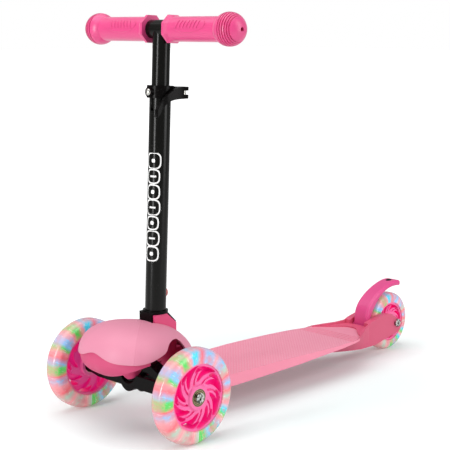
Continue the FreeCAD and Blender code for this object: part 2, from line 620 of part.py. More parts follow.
def make_clamp():
    ring = cyl(COLLAR_R, COLLAR_H, Vector(0, 0, COLLAR_Z), Z)
    ears = box(-8, 8, 13, 28, COLLAR_Z + 1, COLLAR_Z + COLLAR_H - 1)
    boss = cyl(6.2, 14, Vector(0, -20, COLLAR_Z + 7.2), Y)
    bore = cyl(LOWER_R + 0.02, 14.0, Vector(0, 0, COLLAR_Z), Z).fuse(
        cyl(UPPER_R + 0.1, 30, Vector(0, 0, COLLAR_Z), Z))
    split = box(-1, 1, 8, 40, COLLAR_Z - 5, COLLAR_Z + 30)
    hole = cyl(2.55, 60, Vector(-30, 21, COLLAR_Z + 7.5), X)
    button_bore = cyl(3.1, 12, Vector(0, -22, COLLAR_Z + 7.2), Y).fuse(cyl(4.3, 4.0, Vector(0, -20, COLLAR_Z + 7.2), Y))
    collar = ring.fuse([ears, boss]).cut([bore, split, hole, button_bore]).removeSplitter()
    save("clamp_collar", lean(collar))
    z = COLLAR_Z + 7.5
    save("clamp_skewer", lean(cyl(2.5, 33.5, Vector(-14.0, 21, z), X)))
    barrel = cyl(3.6, 15.0, Vector(19.5, 21, z - 7.5), Z).cut(cyl(2.5, 7.5, Vector(12.0, 21, z), X))
    save("clamp_barrel", lean(barrel))
    nut = cyl(4.2, 5.0, Vector(-13.0, 21, z), X).cut(cyl(2.5, 10, Vector(-16, 21, z), X))
    save("clamp_nut", lean(nut))
    seat = box(8, 13.6, 15.5, 26.5, z - 6, z + 6).cut([cyl(7.0, 30, Vector(19.5, 21, z - 15), Z),
                                                  cyl(2.55, 20, Vector(6, 21, z), X)])
    save("clamp_seat", lean(seat))
    save("clamp_lever", lean(make_lever(z)))
    save("height_button", lean(make_height_button()))


def make_height_button():
    z = COLLAR_Z + 7.2
    cap = Part.makeSphere(5.2, Vector(0, -17.6, z)).common(box(-6, 6, -30, -18.6, z - 6, z + 6))
    neck = cyl(4.2, 1.2, Vector(0, -18.9, z), Y)
    foot = cyl(3.0, 7.2, Vector(0, -18.2, z), Y)
    return cap.common(cyl(4.2, 10, Vector(0, -26, z), Y)).fuse([neck, foot]).removeSplitter()


def make_lever(z):
    eyes = []
    for z0 in (z - 7.4, z + 2.6):
        eyes.append(cyl(6.6, 4.8, Vector(19.5, 21, z0), Z))
    plan = [(26.1, 21), (26.0, 12), (24.8, 2), (22.9, -8), (20.4, -17), (18.0, -23.0), (15.0, -21.6), (17.0, -14.5),
            (18.6, -7), (19.6, 2), (19.8, 12), (19.9, 16), (22.4, 21)]
    curve = Part.BSplineCurve()
    curve.interpolate([Vector(x, y, 380) for x, y in plan], PeriodicFlag=True)
    band = Part.Face(Part.Wire(curve.toShape())).extrude(Vector(0, 0, 60))
    side = [(21, z + 7.4), (12, z + 7.0), (4, z + 4.6), (-5, z - 0.5), (-13, z - 8.5), (-19, z - 18.0),
            (-22.5, z - 27.0), (-21, z - 31.0), (-18.6, z - 28.8), (-13.4, z - 19.6), (-6.4, z - 12.4),
            (4, z - 8.8), (21, z - 7.4)]
    low = Part.BSplineCurve()
    low.interpolate([Vector(10, y, h) for y, h in side])
    shut = Part.makeLine(Vector(10, 21, z - 7.4), Vector(10, 21, z + 7.4))
    shape = Part.Face(Part.Wire([low.toShape(), shut])).extrude(Vector(24, 0, 0))
    arm = band.common(shape)
    lever = arm.fuse(eyes)
    window = cyl(8.2, 5.2, Vector(19.5, 21, z - 2.6), Z)
    lever = lever.cut([window, cyl(3.65, 40, Vector(19.5, 21, z - 20), Z)])
    return max(lever.Solids, key=lambda s: s.Volume)


# ---- handlebar ---------------------------------------------------------------------------------------
def make_handlebar():
    cross = tube(BAR_R + 0.3, BAR_R - 1.2, 2 * 112.0, Vector(-112, 0, BAR_Z), X)
    post = tube(UPPER_R, UPPER_R - UPPER_WALL, BAR_Z - UPPER_FOOT_Z, Vector(0, 0, UPPER_FOOT_Z), Z)
    post = post.cut(cyl(BAR_R + 0.3, 80, Vector(-40, 0, BAR_Z), X))
    slot = box(-3.3, 3.3, -20, -5, 324, COLLAR_Z + 11)
    save("upper_tube", lean(post.cut(slot)))
    save("crossbar", lean(cross))
    save("left_grip", lean(make_grip()))
    save("right_grip", lean(mirror(make_grip())))
    plug = tube(UPPER_R + 0.3, 6.0, 4.0, Vector(0, 0, UPPER_FOOT_Z - 4), Z).common(
        cyl(UPPER_R, 10, Vector(0, 0, UPPER_FOOT_Z - 6), Z))
    save("tube_end_plug", lean(plug))


def make_grip():
    z = BAR_Z
    sleeve = cyl(GRIP_R, 88, Vector(FLANGE_X + 1, 0, z), X)
    rims = [Part.makePolygon([Vector(x, r * math.cos(math.radians(45 * k + 22.5)),
                                     z + r * math.sin(math.radians(45 * k + 22.5))) for k in range(9)])
            for x, r in ((FLANGE_X, 18.6), (FLANGE_X + 4.0, 18.6), (FLANGE_X + 9.5, GRIP_R - 0.2))]
    flange = Part.makeLoft(rims, True, True)
    ball = Part.makeSphere(BALL_R, Vector(BALL_X, 0, z))
    grip = sleeve.fuse([flange, ball])
    rings = []
    for along in BALL_RINGS:
        r = math.sqrt(BALL_R ** 2 - along ** 2)
        rings.append(tube(40, r - 1.2, 1.4, Vector(BALL_X + along - 0.7, 0, z), X))
    grip = grip.cut(rings)
    oval = turned_up(grip_oval())
    bead = cyl(GRIP_R + 0.6, 62, Vector(31, 0, z), X).common(oval)
    bars = [turned_up(flat_plate([(x - 2, -5), (x, -5), (x + 3.2, 5), (x + 1.2, 5)], 0, 30)) for x in range(43, 80, 6)]
    mark = cyl(GRIP_R + 1.2, 62, Vector(31, 0, z), X).common(Part.makeCompound(bars))
    grip = grip.fuse([bead, mark])
    hollow = cyl(BAR_R + 0.32, 112 - FLANGE_X + 2, Vector(FLANGE_X - 2, 0, z), X)
    hole = cyl(2.5, 12, Vector(BALL_X + BALL_R - 10, 0, z), X)
    return grip.cut([hollow, hole]).removeSplitter()


def turned_up(shape):
    """Turns a plan shape on the bar's axis to face forward and a little up."""
    shape.rotate(Vector(0, 0, 0), X, 70)
    shape.translate(Vector(0, 0, BAR_Z))
    return shape


def grip_oval():
    """The outline of the raised oval on each grip, drawn flat."""
    pts = [Vector(62 + 29 * math.cos(math.radians(15 * k)), 9.5 * math.sin(math.radians(15 * k)), 0)
           for k in range(24)]
    curve = Part.BSplineCurve()
    curve.interpolate(pts, PeriodicFlag=True)
    return Part.Face(Part.Wire(curve.toShape())).extrude(Vector(0, 0, 30))


def main():
    make_wheels()
    save("front_cover", make_cover())
    save("front_trim", make_trim())
    save("front_housing", make_housing())
    make_truck()
    make_kingpin()
    deck = make_deck()
    save("deck_board", deck)
    save("under_frame", make_under_frame(deck))
    make_brake()
    rear_axle()
    make_stem()
    make_clamp()
    make_handlebar()


main()
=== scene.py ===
"""Looks for a small child's kick scooter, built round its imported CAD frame.

Metres, +Z up, and the front of the scooter points to -Y. Every visible piece is a CAD node, so this file gives
each node its finish, and then adds the floor, the lights and the camera.
"""
import json
import math

import bpy
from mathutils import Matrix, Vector


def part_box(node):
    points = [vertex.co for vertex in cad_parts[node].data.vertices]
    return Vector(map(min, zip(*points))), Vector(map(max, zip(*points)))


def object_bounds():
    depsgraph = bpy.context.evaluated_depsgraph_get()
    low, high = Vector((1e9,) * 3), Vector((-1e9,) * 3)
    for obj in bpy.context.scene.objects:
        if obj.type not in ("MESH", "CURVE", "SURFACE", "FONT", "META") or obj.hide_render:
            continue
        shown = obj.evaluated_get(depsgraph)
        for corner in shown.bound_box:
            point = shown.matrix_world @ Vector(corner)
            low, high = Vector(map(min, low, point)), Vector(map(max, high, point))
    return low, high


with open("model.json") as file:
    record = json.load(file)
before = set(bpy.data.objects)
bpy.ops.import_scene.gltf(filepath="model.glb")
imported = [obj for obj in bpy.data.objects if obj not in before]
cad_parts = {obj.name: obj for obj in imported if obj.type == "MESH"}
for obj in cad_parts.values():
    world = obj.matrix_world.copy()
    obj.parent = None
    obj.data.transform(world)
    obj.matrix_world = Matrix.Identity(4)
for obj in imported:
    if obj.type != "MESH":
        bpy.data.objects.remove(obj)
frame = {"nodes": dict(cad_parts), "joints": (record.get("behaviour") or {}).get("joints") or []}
cad_low, cad_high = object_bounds()
nodes = frame["nodes"]
joints = {joint["name"]: joint for joint in frame["joints"]}

WHEELS = ("front_left_wheel", "front_right_wheel", "rear_wheel")
FULL_TURN = 2 * math.pi

# Faint handling marks, and scratches in patches on the plastic, paint and rubber.
MARK_SCALE, MARK_WIDTH = 45.0, 0.012
MARK_DRAWN_OUT = (1.0, 1.0, 6.0)
SCRATCH_TURN, SCRATCH_STRETCH = (0.5, 0.9, 0.3), (60.0, 900.0, 900.0)
PATCH_SCALE = 38.0

# Stem print: a chain of beads down the front of the lower tube.
BEAD_COUNT = 7
BEAD_PITCH = 0.0196         # from one bead to the next
BEADS_FROM = 0.0779         # the chain's lower end, below the tube's middle
BEAD_AROUND = 0.30          # how far the chain sits round the tube from its front, in radians
BEAD_HALF = 0.0090          # half a bead, before it is varied
BEAD_VARIES = 0.0008
BEAD_LINE = 0.00085         # half the width of the printed outline
DOT_RADIUS = 0.0024
BAR_HALF_LENGTH, BAR_HALF_WIDTH = 0.0044, 0.0011

# Deck tread.
DOT_PITCH = 0.0052
TREAD_DEPTH = 0.0062        # the standing surface is the deck's top, down to here
SMOOTH_END = 0.066          # the rear end of the deck has no dots

# Cover creases: each follows a steep plane, set by its shares of across, along and rise.
CREASE_LEAN = (0.716, 0.691, -0.10)
CREASE_FORWARD = 0.004      # the planes meet this far ahead of the cover's middle
CREASE_FADE = 60.0          # how fast a crease fades beside its plane

# Wheels: how often the light caught in a tyre changes round, outward and across it, and what lights it.
RAYS_ROUND, RAYS_OUT, RAYS_ACROSS = 150.0, 110.0, 60.0
HUB_SPREAD = 60.0           # the hub's ramp goes from its middle plane at 0 to 1/60 m out at 1
BEARING_RINGS = 0.0021      # from one turned ring to the next
RAMP_LIMIT = 32             # a colour ramp holds no more stops than this
GREEN, CYAN, SKY = (0.07, 0.68, 0.10), (0.04, 0.68, 0.90), (0.22, 0.58, 0.92)
RED, ROSE, MIST = (0.92, 0.14, 0.18), (0.93, 0.34, 0.38), (0.42, 0.62, 0.50)
GLOW_STOPS = [              # degrees from the top of the wheel, minus towards the front, and the light seen there
    (-180, MIST), (-169, ROSE), (-156, MIST), (-143, ROSE), (-133, MIST), (-124, RED), (-113, ROSE), (-104, SKY),
    (-97, RED), (-91, GREEN), (-85, GREEN), (-79, SKY), (-70, RED), (-64, ROSE), (-58, GREEN), (-51, SKY), (-43, SKY),
    (-35, ROSE), (-30, GREEN), (-22, GREEN), (-15, ROSE), (-10, CYAN), (-4, CYAN), (6, RED), (18, SKY), (25, SKY),
    (36, ROSE), (48, SKY), (60, MIST), (70, RED), (80, SKY), (90, RED), (99, MIST), (108, ROSE), (118, CYAN),
    (126, GREEN), (134, ROSE), (142, CYAN), (152, GREEN), (161, SKY), (171, GREEN),
]

# Studio: the room's own light as a share of white, and each softbox's place, aim, width, height and watts.
ROOM_LIGHT = 0.35
SOFTBOXES = {
    "top_softbox": ((-0.25, -0.45, 2.3), (0.0, 0.0, 0.05), 2.4, 2.4, 36.0),
    "front_softbox": ((-0.12, -1.95, 0.62), (0.0, -0.2, 0.3), 0.34, 1.2, 18.0),
    "side_softbox": ((1.75, 0.55, 1.02), (0.0, -0.2, 0.3), 0.85, 2.0, 21.0),
}
FLOOR_SIZE = 40.0
FLOOR_GAP = 0.0002          # how far the floor lies below the tyres
WHITE_FROM = 4.0            # how far out the floor is as white as the room
CAMERA_PLACE = (1.1109, -1.1970, 0.5018)
CAMERA_DOWN, CAMERA_ROUND = 9.5, 45.0       # degrees below level, and round the scooter
CAMERA_LENS, SENSOR_WIDTH = 94.95, 36.0     # millimetres


def middle(node):
    low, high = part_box(node)
    return (Vector(low) + Vector(high)) / 2


def half_height(node):
    low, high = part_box(node)
    return (high[2] - low[2]) / 2


# ---------------------------------------------------------------- small steps in a node tree
def join(tree, out, into):
    tree.links.new(out, into)


def maths(tree, operation, a, b=None, clamp=False):
    node = tree.nodes.new("ShaderNodeMath")
    node.operation, node.use_clamp = operation, clamp
    for socket, value in zip(node.inputs, (a, b)):
        if value is None:
            continue
        if isinstance(value, (int, float)):
            socket.default_value = value
        else:
            join(tree, value, socket)
    return node.outputs[0]


def times(tree, a, b, clamp=False):
    return maths(tree, "MULTIPLY", a, b, clamp)


def plus(tree, a, b):
    return maths(tree, "ADD", a, b)


def unsigned(tree, a):
    return maths(tree, "ABSOLUTE", a)


def split_xyz(tree, vector):
    node = tree.nodes.new("ShaderNodeSeparateXYZ")
    join(tree, vector, node.inputs[0])
    return node.outputs["X"], node.outputs["Y"], node.outputs["Z"]


def blend_colour(tree, factor, a, b):
    node = tree.nodes.new("ShaderNodeMix")
    node.data_type = "RGBA"
    for socket, value in ((node.inputs["Factor"], factor), (node.inputs[6], a), (node.inputs[7], b)):
        if isinstance(value, (int, float)):
            socket.default_value = value
        elif isinstance(value, tuple):
            socket.default_value = (*value, 1.0)
        else:
            join(tree, value, socket)
    return node.outputs[2]


def ramp(tree, value, stops, ease="LINEAR"):
    """Each stop is a place and a colour, or a place and one number for a grey."""
    node = tree.nodes.new("ShaderNodeValToRGB")
    node.color_ramp.interpolation = ease
    elements = node.color_ramp.elements
    while len(elements) > 1:
        elements.remove(elements[-1])
    for count, (place, colour) in enumerate(stops):
        stop = elements.new(place) if count else elements[0]
        stop.position = place
        stop.color = (*colour, 1.0) if isinstance(colour, tuple) else (colour, colour, colour, 1.0)
    join(tree, value, node.inputs["Fac"])
    return node.outputs["Color"]


def noise(tree, vector, scale, detail=3.0, rough=0.5):
    """A noise texture's factor; the scale is a number, or a socket that gives one."""
    node = tree.nodes.new("ShaderNodeTexNoise")
    node.inputs["Detail"].default_value = detail
    node.inputs["Roughness"].default_value = rough
    if isinstance(scale, (int, float)):
        node.inputs["Scale"].default_value = scale
    else:
        join(tree, scale, node.inputs["Scale"])
    join(tree, vector, node.inputs["Vector"])
    return node.outputs["Fac"]


def moved(tree, vector, shift, turn=(0.0, 0.0, 0.0)):
    """The same place, measured from another origin and along turned axes."""
    node = tree.nodes.new("ShaderNodeMapping")
    node.vector_type = "TEXTURE"
    node.inputs["Location"].default_value = shift
    node.inputs["Rotation"].default_value = turn
    join(tree, vector, node.inputs["Vector"])
    return node.outputs["Vector"]


# ---------------------------------------------------------------- shared effects
def new_group(name, inputs, outputs):
    """A shader node group; inputs are (name, kind, default), and outputs are values."""
    tree = bpy.data.node_groups.new(name, "ShaderNodeTree")
    kinds = {"value": "NodeSocketFloat", "vector": "NodeSocketVector"}
    for label, kind, default in inputs:
        socket = tree.interface.new_socket(name=label, in_out="INPUT", socket_type=kinds[kind])
        if default is not None:
            socket.default_value = default
    for label in outputs:
        tree.interface.new_socket(name=label, in_out="OUTPUT", socket_type=kinds["value"])
    return tree, tree.nodes.new("NodeGroupInput").outputs, tree.nodes.new("NodeGroupOutput").inputs


def make_moulded():
    """The fine orange-peel of a moulded surface, its slow drift of shade, and faint handling marks."""
    tree, given, put_out = new_group("moulded_surface", [("Vector", "vector", None), ("Grain", "value", 2600.0),
                                                         ("Drift", "value", 14.0)], ["Height", "Shade", "Marks"])
    place = given["Vector"]
    marks = tree.nodes.new("ShaderNodeTexVoronoi")
    marks.feature = "DISTANCE_TO_EDGE"
    marks.inputs["Scale"].default_value = MARK_SCALE
    drawn_out = tree.nodes.new("ShaderNodeVectorMath")
    drawn_out.operation = "MULTIPLY_ADD"
    drawn_out.inputs[1].default_value = MARK_DRAWN_OUT
    join(tree, place, drawn_out.inputs[0])
    join(tree, noise(tree, place, 30.0, 4.0), drawn_out.inputs[2])
    join(tree, drawn_out.outputs[0], marks.inputs["Vector"])
    join(tree, noise(tree, place, given["Grain"], 2.0), put_out["Height"])
    join(tree, noise(tree, place, given["Drift"]), put_out["Shade"])
    join(tree, maths(tree, "LESS_THAN", marks.outputs["Distance"], MARK_WIDTH), put_out["Marks"])
    return tree


def make_wheel_place():
    """Place on a wheel whose axle lies along X.

    Clock goes from 0 at the floor, up round the front to 0.5 at the top, and down round the rear to 1. Radius is the
    distance from the axle, and Side the distance from the wheel's middle plane, in metres.
    """
    tree, given, put_out = new_group("wheel_place", [("Vector", "vector", None)], ["Clock", "Radius", "Side"])
    x, y, z = split_xyz(tree, given["Vector"])
    angle = maths(tree, "ARCTAN2", y, z)
    square = plus(tree, maths(tree, "POWER", y, 2.0), maths(tree, "POWER", z, 2.0))
    join(tree, plus(tree, maths(tree, "DIVIDE", angle, FULL_TURN), 0.5), put_out["Clock"])
    join(tree, maths(tree, "SQRT", square), put_out["Radius"])
    join(tree, unsigned(tree, x), put_out["Side"])
    return tree


def make_scuffs():
    """Short scratches in patches, as a mask from 0 to 1."""
    tree, given, put_out = new_group("scuffs", [("Vector", "vector", None), ("Amount", "value", 0.5)], ["Mask"])
    stretched = tree.nodes.new("ShaderNodeMapping")
    stretched.inputs["Rotation"].default_value = SCRATCH_TURN
    stretched.inputs["Scale"].default_value = SCRATCH_STRETCH
    join(tree, given["Vector"], stretched.inputs["Vector"])
    lines = ramp(tree, noise(tree, stretched.outputs["Vector"], 1.0, 2.0), [(0.64, 0.0), (0.70, 1.0)])
    patches = ramp(tree, noise(tree, given["Vector"], PATCH_SCALE), [(0.52, 0.0), (0.66, 1.0)])
    join(tree, times(tree, times(tree, lines, patches), given["Amount"], True), put_out["Mask"])
    return tree


MOULDED = make_moulded()
WHEEL_PLACE = make_wheel_place()
SCUFFS = make_scuffs()


def use_group(tree, group, vector, **values):
    node = tree.nodes.new("ShaderNodeGroup")
    node.node_tree = group
    join(tree, vector, node.inputs["Vector"])
    for key, value in values.items():
        node.inputs[key].default_value = value
    return node.outputs


# ---------------------------------------------------------------- materials
def start_material(name, roughness=0.4, metallic=0.0, coat=0.0, coat_rough=0.1, specular=0.5):
    """A new material, its node tree, its shader, and the place in the scooter's own metres."""
    material = bpy.data.materials.new(name)
    material.use_nodes = True
    tree = material.node_tree
    shader = tree.nodes["Principled BSDF"]
    shader.inputs["Roughness"].default_value = roughness
    shader.inputs["Metallic"].default_value = metallic
    shader.inputs["Coat Weight"].default_value = coat
    shader.inputs["Coat Roughness"].default_value = coat_rough
    shader.inputs["Specular IOR Level"].default_value = specular
    return material, tree, shader, tree.nodes.new("ShaderNodeTexCoord").outputs["Object"]


def bump(tree, shader, height, strength, distance, edge=0.0006):
    """Relief from a height, over edges that the light sees as slightly rounded; no edge leaves them sharp."""
    node = tree.nodes.new("ShaderNodeBump")
    node.inputs["Strength"].default_value = strength
    node.inputs["Distance"].default_value = distance
    join(tree, height, node.inputs["Height"])
    if edge:
        rounded = tree.nodes.new("ShaderNodeBevel")
        rounded.samples = 4
        rounded.inputs["Radius"].default_value = edge
        join(tree, rounded.outputs["Normal"], node.inputs["Normal"])
    join(tree, node.outputs["Normal"], shader.inputs["Normal"])


def plastic(name, colour, deep, roughness=0.5, coat=0.1, grain=2600.0, depth=0.00004, strength=0.25, sheen=0.0,
            crease=None):
    """Moulded plastic: a colour that drifts towards a deeper one, a fine grain, faint marks and pale scratches."""
    material, tree, shader, place = start_material(name, roughness, coat=coat, coat_rough=0.3)
    shader.inputs["Sheen Weight"].default_value = sheen
    shader.inputs["Sheen Roughness"].default_value = 0.35
    surface = use_group(tree, MOULDED, place, Grain=grain)
    scuffs = use_group(tree, SCUFFS, place, Amount=0.5)["Mask"]
    drift = times(tree, maths(tree, "SUBTRACT", surface["Shade"], 0.35, True), 0.9, True)
    body = blend_colour(tree, drift, colour, deep)
    pale = tuple(min(1.0, channel * 0.9 + 0.1) for channel in colour)
    join(tree, blend_colour(tree, times(tree, scuffs, 0.35), body, pale), shader.inputs["Base Color"])
    rough = plus(tree, times(tree, surface["Marks"], 0.08), times(tree, surface["Shade"], 0.12))
    join(tree, plus(tree, rough, roughness - 0.06), shader.inputs["Roughness"])
    if crease:
        height = plus(tree, crease(tree, place), times(tree, surface["Height"], 0.02))
        bump(tree, shader, height, 0.6, 0.0016)
    else:
        bump(tree, shader, surface["Height"], strength, depth)
    return material


def cover_crease(tree, place):
    """Soft mould creases that run down the cover between its front and each of its sides."""
    low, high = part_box("front_cover")
    x, y, z = split_xyz(tree, place)
    across = unsigned(tree, maths(tree, "SUBTRACT", x, (low[0] + high[0]) / 2))
    along = maths(tree, "SUBTRACT", y, (low[1] + high[1]) / 2 - CREASE_FORWARD)
    rise = maths(tree, "SUBTRACT", z, low[2])
    lean = [times(tree, value, share) for value, share in zip((across, along, rise), CREASE_LEAN)]
    off = unsigned(tree, plus(tree, lean[0], plus(tree, lean[1], lean[2])))
    fold = ramp(tree, times(tree, off, CREASE_FADE, True), [(0.0, 1.0), (0.10, 0.72), (0.6, 0.0)], "EASE")
    in_front = maths(tree, "LESS_THAN", maths(tree, "SUBTRACT", along, across), 0.0)
    return times(tree, fold, in_front)


def deck_plastic():
    """Light pink plastic with a fine grid of grip dots on the standing surface, rubbed paler where feet go; the dots
    carry a painted highlight, and the top has painted shade towards the rear.
    """
    material, tree, shader, place = start_material("deck_plastic", 0.5, coat=0.05, coat_rough=0.3, specular=0.35)
    low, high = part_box("deck_board")
    surface = use_group(tree, MOULDED, place)
    scuffs = use_group(tree, SCUFFS, place, Amount=0.8)["Mask"]
    x, y, z = split_xyz(tree, place)
    facing_up = split_xyz(tree, tree.nodes.new("ShaderNodeNewGeometry").outputs["Normal"])[2]

    waves = [maths(tree, "COSINE", times(tree, side, FULL_TURN / DOT_PITCH)) for side in (x, y)]
    on_top = maths(tree, "GREATER_THAN", z, high[2] - TREAD_DEPTH)
    flat = maths(tree, "GREATER_THAN", facing_up, 0.8)
    ahead = maths(tree, "LESS_THAN", y, high[1] - SMOOTH_END)
    tread = times(tree, times(tree, on_top, flat), ahead)
    raised = times(tree, ramp(tree, times(tree, *waves), [(0.10, 0.0), (0.30, 1.0)]), tread)

    along = maths(tree, "DIVIDE", maths(tree, "SUBTRACT", y, low[1]), high[1] - low[1])
    colour = blend_colour(tree, times(tree, surface["Shade"], 0.5), (0.97, 0.305, 0.430), (0.90, 0.260, 0.385))
    # The deck's top is painted darker towards the rear: painted shade.
    top_shaded_to_rear = blend_colour(tree, times(tree, times(tree, along, flat), 0.7), colour, (0.74, 0.255, 0.365))
    # The raised grip dots are painted paler than the hollows between them: a painted highlight.
    dot_tops_lit = blend_colour(tree, times(tree, raised, 0.34), top_shaded_to_rear, (0.97, 0.56, 0.66))
    join(tree, blend_colour(tree, times(tree, scuffs, 0.4), dot_tops_lit, (0.92, 0.58, 0.66)), shader.inputs["Base Color"])
    join(tree, plus(tree, times(tree, surface["Shade"], 0.2), 0.42), shader.inputs["Roughness"])
    bump(tree, shader, plus(tree, raised, times(tree, surface["Height"], 0.15)), 0.7, 0.0004)
    return material


def lamp_light(tree, clock):
    """The light seen at each clock place, in two ramps that meet at the stop they share."""
    stops = [((angle + 180) / 360.0, colour) for angle, colour in GLOW_STOPS]
    early = ramp(tree, clock, stops[:RAMP_LIMIT])
    late = ramp(tree, clock, stops[RAMP_LIMIT - 1:])
    past = maths(tree, "GREATER_THAN", clock, stops[RAMP_LIMIT - 1][0])
    return blend_colour(tree, past, early, late)


def tyre_clear(name, wheel):
    """Clear polyurethane with the coloured light of the lamps caught in it as streaks, glints and dark flecks."""
    material, tree, shader, place = start_material(name, 0.22, coat=0.5, coat_rough=0.12)
    tread, rim = half_height(wheel + "_tyre"), half_height(wheel + "_hub")
    local = moved(tree, place, middle(wheel + "_hub"))
    on_wheel = use_group(tree, WHEEL_PLACE, local)
    depth = maths(tree, "DIVIDE", maths(tree, "SUBTRACT", on_wheel["Radius"], rim), tread - rim)

    streaks = tree.nodes.new("ShaderNodeCombineXYZ")
    for axis, label, often in (("X", "Clock", RAYS_ROUND), ("Y", "Radius", RAYS_OUT), ("Z", "Side", RAYS_ACROSS)):
        join(tree, times(tree, on_wheel[label], often), streaks.inputs[axis])
    rays = noise(tree, streaks.outputs[0], 1.0, 4.0, 0.62)
    wander = times(tree, maths(tree, "SUBTRACT", noise(tree, local, 80.0), 0.5), 0.030)
    lights = lamp_light(tree, plus(tree, on_wheel["Clock"], wander))

    fade = ramp(tree, depth, [(0.0, 0.55), (0.14, 1.0), (0.74, 1.0), (0.96, 0.55)], "EASE")
    patch = ramp(tree, noise(tree, moved(tree, local, (0.02, 0.01, 0.03)), 75.0), [(0.36, 0.30), (0.50, 1.0)])
    strength = times(tree, times(tree, fade, patch), plus(tree, rays, 0.50), True)
    clear = blend_colour(tree, depth, (0.88, 0.20, 0.27), (0.90, 0.40, 0.42))
    lit = blend_colour(tree, strength, clear, lights)
    glinting = blend_colour(tree, ramp(tree, rays, [(0.60, 0.0), (0.72, 0.7)]), lit, (0.97, 0.94, 0.94))
    flecked = blend_colour(tree, ramp(tree, rays, [(0.30, 0.35), (0.42, 0.0)]), glinting, (0.70, 0.10, 0.16))
    facing = tree.nodes.new("ShaderNodeLayerWeight")
    facing.inputs["Blend"].default_value = 0.25
    contour = ramp(tree, facing.outputs["Facing"], [(0.70, 0.0), (0.95, 0.65)])
    join(tree, blend_colour(tree, contour, flecked, (0.80, 0.16, 0.22)), shader.inputs["Base Color"])

    join(tree, blend_colour(tree, strength, (0.30, 0.07, 0.09), lights), shader.inputs["Emission Color"])
    shader.inputs["Emission Strength"].default_value = 0.24
    join(tree, ramp(tree, depth, [(0.0, 0.97), (0.7, 0.90), (1.0, 0.74)]), shader.inputs["Alpha"])
    join(tree, plus(tree, times(tree, rays, 0.25), 0.10), shader.inputs["Roughness"])
    bump(tree, shader, rays, 0.25, 0.0003, 0.0)
    return material


def hub_plastic(name, wheel):
    """Bright pink hub whose pockets fall off to deep magenta as painted shade, and carry a painted magenta glow."""
    material, tree, shader, place = start_material(name, 0.30, coat=0.35, coat_rough=0.15)
    surface = use_group(tree, MOULDED, place)
    on_wheel = use_group(tree, WHEEL_PLACE, moved(tree, place, middle(wheel + "_hub")))
    outward = ramp(tree, times(tree, on_wheel["Side"], HUB_SPREAD),
                   [(0.0, 0.0), (0.30, 0.12), (0.48, 0.5), (0.60, 1.0)])
    face = blend_colour(tree, times(tree, surface["Shade"], 0.4), (1.0, 0.15, 0.42), (0.95, 0.10, 0.34))
    # Towards the middle plane the pockets are painted deep magenta as painted shade, and a painted glow lifts them.
    join(tree, blend_colour(tree, outward, (0.88, 0.005, 0.30), face), shader.inputs["Base Color"])
    join(tree, blend_colour(tree, outward, (0.50, 0.004, 0.16), (0.03, 0.002, 0.01)), shader.inputs["Emission Color"])
    shader.inputs["Emission Strength"].default_value = 0.36
    join(tree, plus(tree, times(tree, surface["Marks"], 0.1), 0.28), shader.inputs["Roughness"])
    bump(tree, shader, surface["Height"], 0.15, 0.00004)
    return material


def lamp_clear():
    """Clear lamp blocks with a cool tint that varies through them."""
    material, tree, shader, place = start_material("lamp_clear", 0.12, coat=0.8)
    surface = use_group(tree, MOULDED, place, Drift=160.0)
    join(tree, blend_colour(tree, surface["Shade"], (0.9, 0.95, 1.0), (0.55, 0.78, 0.9)), shader.inputs["Base Color"])
    bump(tree, shader, surface["Height"], 0.2, 0.00005)
    return material


def steel(name, colour, roughness=0.28, centre=None, hollow_shade=0.0):
    """Plated steel with spots and fine relief; a centre gives it turned rings whose grooves are painted dark as
    painted shade, and the last number paints dark hollows on it, also painted shade.
    """
    material, tree, shader, place = start_material(name, roughness, metallic=1.0)
    surface = use_group(tree, MOULDED, place, Grain=1400.0, Drift=60.0)
    body = blend_colour(tree, surface["Shade"], colour, tuple(channel * 0.72 for channel in colour))
    height = surface["Height"]
    if centre:
        radius = use_group(tree, WHEEL_PLACE, moved(tree, place, centre))["Radius"]
        height = maths(tree, "SINE", times(tree, radius, FULL_TURN / BEARING_RINGS))
        # The grooves between the turned rings are painted dark: painted shade.
        groove_shade = ramp(tree, height, [(0.25, 1.0), (0.62, 0.0)])
        body = blend_colour(tree, times(tree, groove_shade, 0.8), body, (0.055, 0.04, 0.018))
    if hollow_shade:
        # Dark blotches in random places, painted on as the shade of hollows.
        hollow = ramp(tree, noise(tree, place, 420.0, 1.0), [(0.44, 1.0), (0.52, 0.0)])
        body = blend_colour(tree, times(tree, hollow, hollow_shade), body, (0.03, 0.028, 0.022))
    join(tree, body, shader.inputs["Base Color"])
    join(tree, plus(tree, times(tree, surface["Shade"], 0.16), roughness - 0.08), shader.inputs["Roughness"])
    bump(tree, shader, height, 0.3, 0.00003, 0.0003)
    return material


def black(name, colour, roughness, specular, grain=3200.0, strength=0.18, marks=None):
    """Black paint, plastic or rubber with a little dust on it, and white print where a mask for it is given."""
    material, tree, shader, place = start_material(name, roughness, specular=specular)
    surface = use_group(tree, MOULDED, place, Grain=grain, Drift=22.0)
    scuffs = use_group(tree, SCUFFS, place, Amount=0.6)["Mask"]
    dust = tuple(channel * 1.8 + 0.0015 for channel in colour)
    body = blend_colour(tree, times(tree, surface["Shade"], 0.6), colour, dust)
    body = blend_colour(tree, times(tree, scuffs, 0.10), body, (0.35, 0.34, 0.33))
    if marks:
        body = blend_colour(tree, marks(tree, place), body, (0.90, 0.90, 0.89))
    join(tree, body, shader.inputs["Base Color"])
    join(tree, plus(tree, times(tree, surface["Marks"], 0.08), roughness - 0.03), shader.inputs["Roughness"])
    bump(tree, shader, surface["Height"], strength, 0.00005)
    return material


